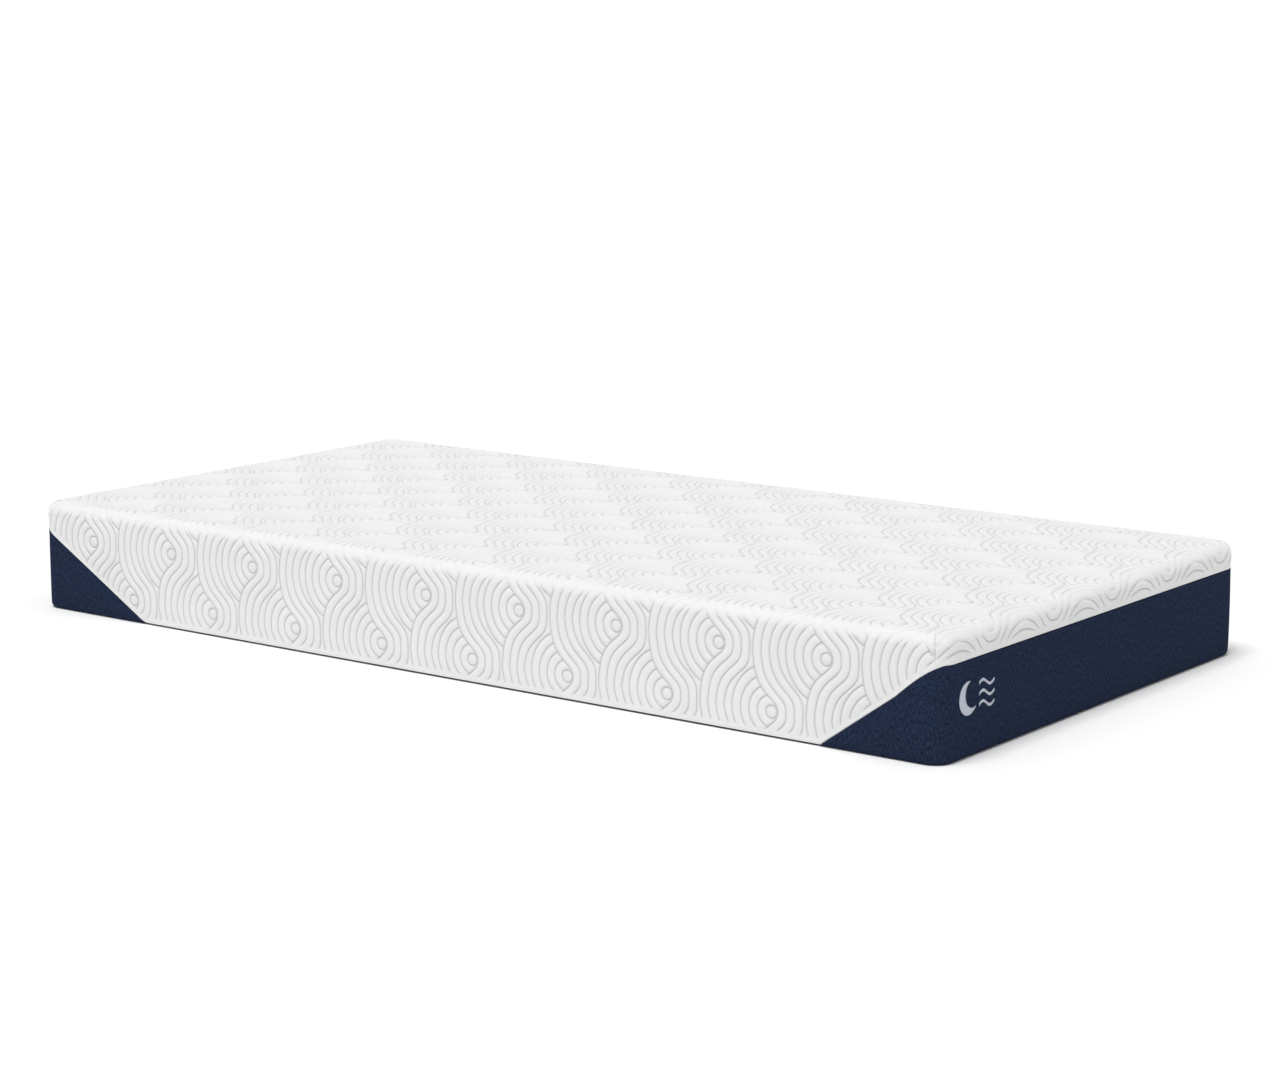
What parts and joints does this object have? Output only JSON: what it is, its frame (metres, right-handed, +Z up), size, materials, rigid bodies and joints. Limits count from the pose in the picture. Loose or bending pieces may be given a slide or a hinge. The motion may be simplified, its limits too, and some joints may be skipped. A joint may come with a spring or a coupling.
{
  "type": "memory foam mattress",
  "caption": "Single mattress: layered foam core in a zipped cover, white relief knit over the top and long sides, navy end panels with slanted wings.",
  "frame": {"origin": "middle of the mattress's underside", "axes": "+Z up through the mattress, +X along its length towards the foot end that carries the emblem, +Y across its width"},
  "size_m": [2.0061, 1, 0.205],
  "materials": {
    "memory_foam": "matte",
    "transition_foam": "matte",
    "support_foam": "matte",
    "white_knit": "matte",
    "navy_fabric": "matte",
    "base_fabric": "matte",
    "white_tape": "matte",
    "navy_tape": "matte",
    "white_teeth": "satin",
    "navy_teeth": "satin",
    "zip_metal": "satin",
    "emblem_thread": "satin",
    "label_satin": "satin"
  },
  "bodies": {
    "base_cover": {"base_panel": "base_fabric", "end_panel_head": "navy_fabric", "end_panel_foot": "navy_fabric", "zip_tape_base": "navy_tape", "tooth_row_base": "navy_teeth", "zip_stop_base": "zip_metal", "end_emblem": "emblem_thread", "care_label": "label_satin"},
    "foam_core": {"comfort_foam": "memory_foam", "transition_foam": "transition_foam", "support_foam": "support_foam"},
    "top_cover": {"top_cover": "white_knit", "zip_tape_top": "white_tape", "tooth_row_top": "white_teeth", "zip_stop_top": "zip_metal"},
    "zip_slider": {"zip_slider": "zip_metal"},
    "pull_tab": {"pull_tab": "zip_metal"}
  },
  "joints": [
    {"name": "core_lift", "type": "slide", "parent": "base_cover", "child": "foam_core", "axis": [0, 0, 1], "range_m": [0, 0.25]},
    {"name": "cover_lift", "type": "slide", "parent": "foam_core", "child": "top_cover", "axis": [0, 0, 1], "range_m": [0, 0.3]},
    {"name": "slider_run", "type": "slide", "parent": "base_cover", "child": "zip_slider", "axis": [0, -1, 0], "range_m": [0, 0.88], "deforming": ["tooth_row_top", "tooth_row_base", "zip_tape_top", "zip_tape_base"]},
    {"name": "tab_swing", "type": "hinge", "parent": "zip_slider", "child": "pull_tab", "pos_m": [-1.0027, 0.44, 0.157], "axis": [0, 0, -1], "range_deg": [0, 180]}
  ]
}
